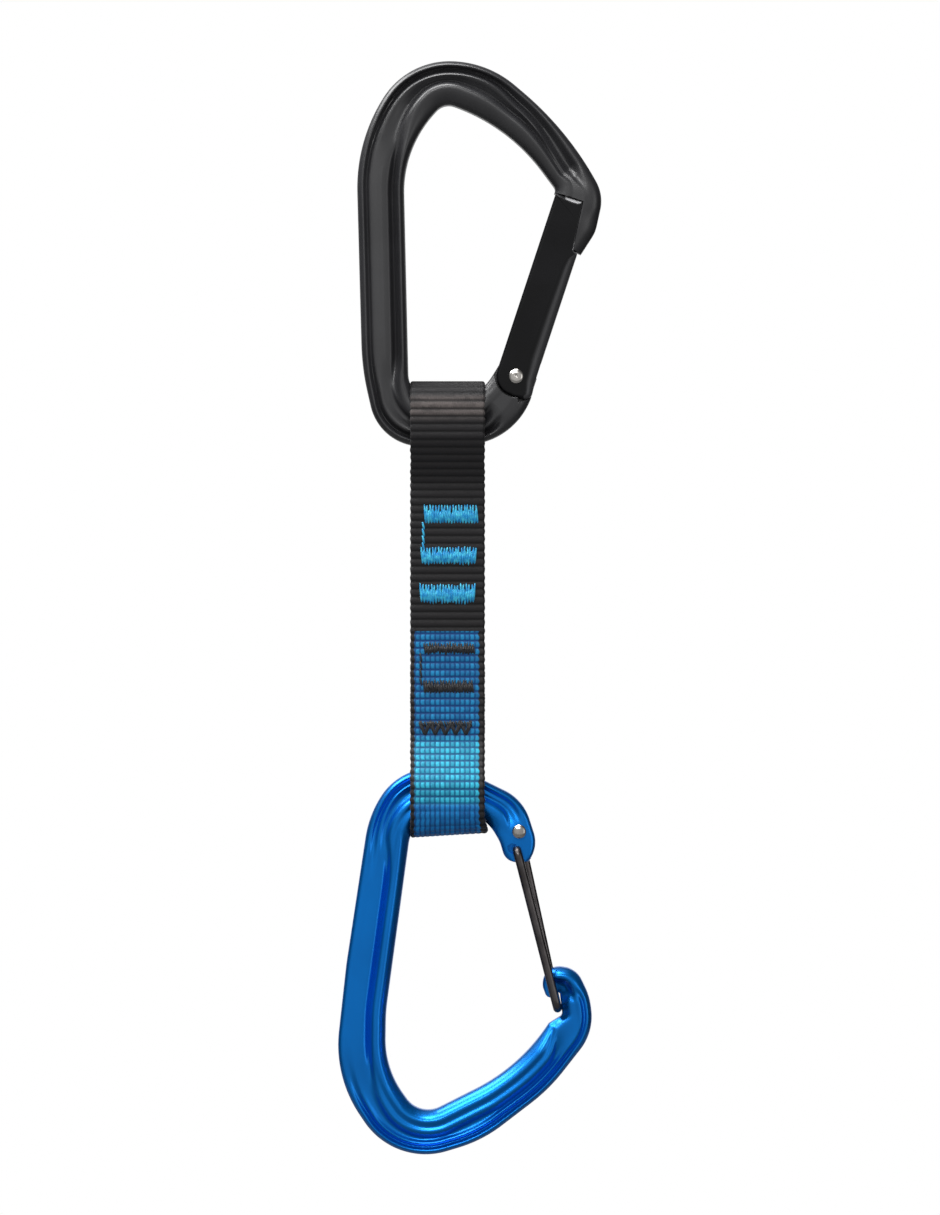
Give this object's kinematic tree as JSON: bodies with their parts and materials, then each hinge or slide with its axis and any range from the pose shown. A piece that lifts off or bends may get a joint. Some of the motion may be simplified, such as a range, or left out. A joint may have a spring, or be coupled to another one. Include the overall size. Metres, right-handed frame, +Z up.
{
  "type": "climbing quickdraw",
  "caption": "Climbing quickdraw: a solid-gate carabiner and a wire-gate carabiner joined by a short sewn webbing sling.",
  "frame": {"origin": "inner apex of the upper carabiner's top bow, where a bolt hanger bears", "axes": "+Z up along the hanging quickdraw, +Y through the carabiners' thickness, +X towards the gates"},
  "size_m": [0.0689, 0.0154, 0.2874],
  "materials": {
    "black_anodised": "satin anodised aluminium, dark grey",
    "black_gate": "smooth black anodised aluminium",
    "blue_anodised": "glossy blue anodised aluminium",
    "polished_steel": "polished stainless steel",
    "wire_steel": "dark stainless steel wire",
    "black_webbing": "woven black polyester",
    "blue_webbing": "woven blue polyester",
    "blue_thread": "blue bonded sewing thread",
    "black_thread": "black bonded sewing thread",
    "black_rubber": "matt black rubber"
  },
  "bodies": {
    "upper_carabiner": {"upper_frame": "black_anodised", "upper_gate_rivet": "polished_steel", "upper_loop": "black_webbing"},
    "upper_gate": {"upper_gate": "black_gate", "upper_gate_spring": "wire_steel"},
    "upper_plunger": {"upper_gate_plunger": "polished_steel"},
    "sling": {"front_webbing_black": "black_webbing", "front_webbing_blue": "blue_webbing", "back_webbing_black": "black_webbing", "back_webbing_blue": "blue_webbing", "inner_tail": "black_webbing", "blue_tack_upper": "blue_thread", "blue_tack_middle": "blue_thread", "blue_tack_lower": "blue_thread", "black_tack_upper": "black_thread", "black_tack_middle": "black_thread", "black_tack_lower": "black_thread"},
    "lower_carabiner": {"lower_frame": "blue_anodised", "lower_loop": "blue_webbing", "lower_keeper": "black_rubber"},
    "wire_gate": {"wire_gate": "wire_steel"}
  },
  "joints": [
    {"name": "upper_gate_hinge", "type": "hinge", "parent": "upper_carabiner", "child": "upper_gate", "pos_m": [0.0179, 0, -0.0714], "axis": [0, -1, 0], "range_deg": [0, 30], "stiffness_Nm_per_rad": 0.1, "springref_deg": -85.94},
    {"name": "upper_plunger_slide", "type": "slide", "parent": "upper_gate", "child": "upper_plunger", "axis": [0.314, 0, 0.9494], "range_m": [0, 0.0018], "deforming": ["upper_gate_spring"]},
    {"name": "sling_swing", "type": "hinge", "parent": "upper_carabiner", "child": "sling", "pos_m": [-0.0001, 0, -0.098], "axis": [1, 0, 0], "range_deg": [-75, 75]},
    {"name": "lower_carabiner_swing", "type": "hinge", "parent": "sling", "child": "lower_carabiner", "pos_m": [-0.0001, 0, -0.168], "axis": [1, 0, 0], "range_deg": [-75, 75]},
    {"name": "wire_gate_hinge", "type": "hinge", "parent": "lower_carabiner", "child": "wire_gate", "pos_m": [0.0184, 0, -0.1933], "axis": [0, 1, 0], "range_deg": [0, 30], "stiffness_Nm_per_rad": 0.08, "springref_deg": -68.75}
  ],
  "couplings": [
    {"joint": "upper_plunger_slide", "follows": "upper_gate_hinge", "m_per_rad": 0.0033}
  ]
}
